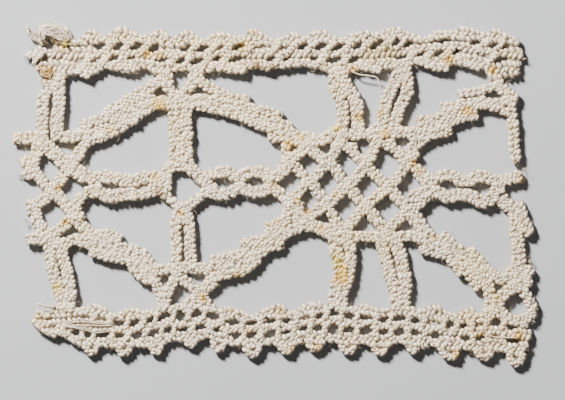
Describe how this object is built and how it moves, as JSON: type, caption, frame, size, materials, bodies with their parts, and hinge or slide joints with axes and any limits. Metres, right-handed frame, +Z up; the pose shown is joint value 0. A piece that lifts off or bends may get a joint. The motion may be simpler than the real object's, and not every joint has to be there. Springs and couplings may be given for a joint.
{
  "type": "lace insertion",
  "caption": "Flat strip of plaited linen lace: two scalloped openwork headings joined by paired bars, staggered leaves and a lattice with diamond gaps.",
  "frame": {"origin": "middle of the strip's box, on its flat underside", "axes": "+X along the headings, +Y from the picot heading to the plain heading, +Z up out of the face that shows"},
  "size_m": [0.1156, 0.076, 0.0018],
  "materials": {
    "linen": "matt undyed linen yarn with a few yellowed spots"
  },
  "bodies": {
    "root": {"lace": "linen"}
  },
  "joints": []
}
